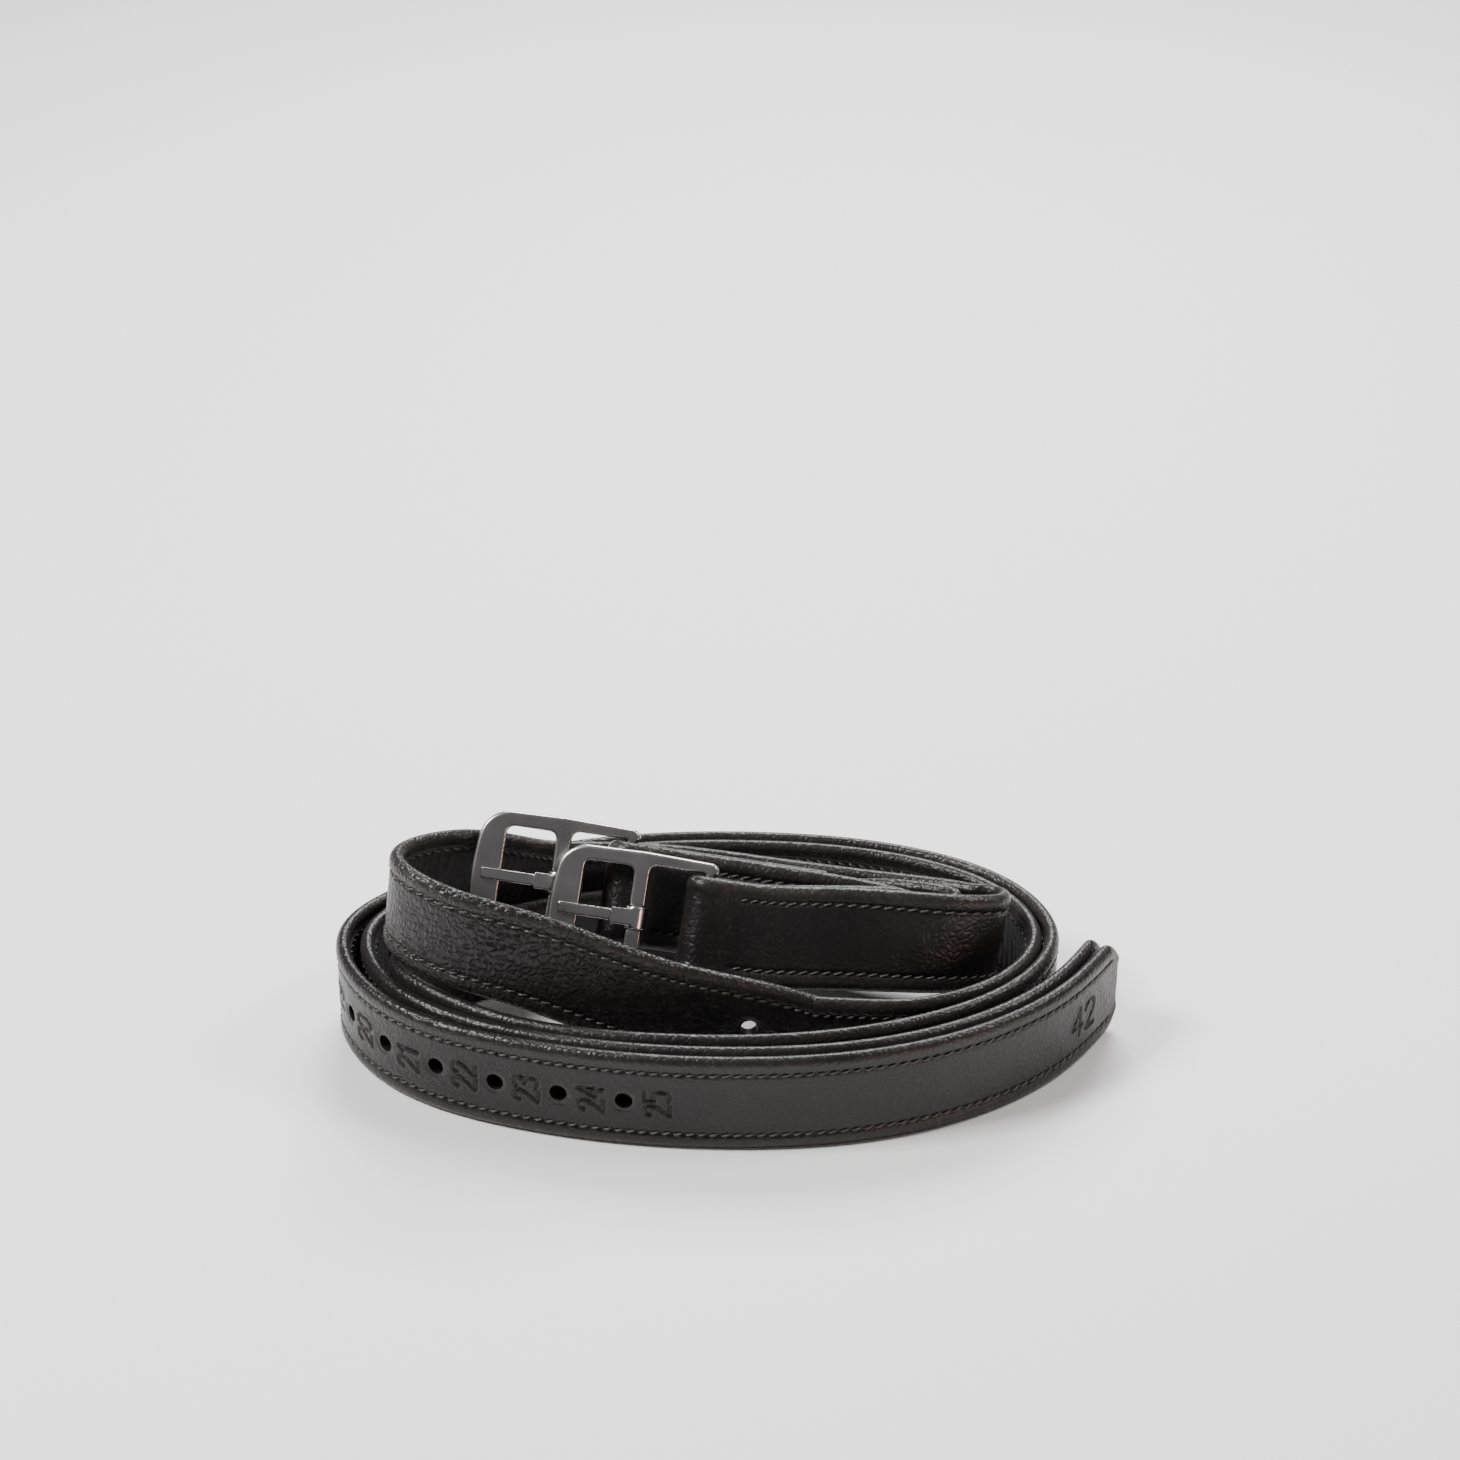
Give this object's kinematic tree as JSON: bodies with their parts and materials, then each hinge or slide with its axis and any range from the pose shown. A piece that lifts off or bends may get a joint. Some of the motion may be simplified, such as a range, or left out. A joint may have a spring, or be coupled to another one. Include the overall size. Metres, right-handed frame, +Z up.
{
  "type": "pair of stirrup leathers",
  "caption": "Coiled pair of padded leather straps on edge, each with a steel tongue buckle folded into one end and a row of punched holes.",
  "frame": {"origin": "middle of the coil's footprint, on the surface that it stands on", "axes": "+Z up, +X to the right along the coil's length towards the tips, +Y to the back; the buckles lie in front"},
  "size_m": [0.1908, 0.1056, 0.0524],
  "materials": {
    "cover_leather": "satin grained",
    "core_leather": "raw flesh side",
    "nylon_tape": "woven",
    "lining_leather": "satin",
    "thread": "twisted polyester",
    "buckle_steel": "polished stainless steel",
    "tongue_steel": "polished stainless steel"
  },
  "bodies": {
    "root": {"near_cover": "cover_leather", "near_core": "core_leather", "near_reinforcing_tape": "nylon_tape", "near_lining": "lining_leather", "near_needle_thread_upper": "thread", "near_needle_thread_lower": "thread", "near_bobbin_thread_upper": "thread", "near_bobbin_thread_lower": "thread", "far_cover": "cover_leather", "far_core": "core_leather", "far_reinforcing_tape": "nylon_tape", "far_lining": "lining_leather", "far_needle_thread_upper": "thread", "far_needle_thread_lower": "thread", "far_bobbin_thread_upper": "thread", "far_bobbin_thread_lower": "thread"},
    "near_frame": {"near_buckle_frame": "buckle_steel"},
    "near_tongue": {"near_buckle_tongue": "tongue_steel"},
    "far_frame": {"far_buckle_frame": "buckle_steel"},
    "far_tongue": {"far_buckle_tongue": "tongue_steel"}
  },
  "joints": [
    {"name": "near_frame_swing", "type": "hinge", "parent": "root", "child": "near_frame", "pos_m": [-0.00629, -0.00252, 0.02955], "axis": [0.1499, 0.4864, 0.8607], "range_deg": [0, 14]},
    {"name": "near_tongue_swing", "type": "hinge", "parent": "near_frame", "child": "near_tongue", "pos_m": [-0.02247, -0.00039, 0.03116], "axis": [0.1499, 0.4864, 0.8607], "range_deg": [0, 140]},
    {"name": "far_frame_swing", "type": "hinge", "parent": "root", "child": "far_frame", "pos_m": [-0.02557, 0.00988, 0.03184], "axis": [0.1484, 0.5021, 0.852], "range_deg": [-1, 2]},
    {"name": "far_tongue_swing", "type": "hinge", "parent": "far_frame", "child": "far_tongue", "pos_m": [-0.04175, 0.01019, 0.03448], "axis": [0.1484, 0.5021, 0.852], "range_deg": [0, 15]}
  ]
}
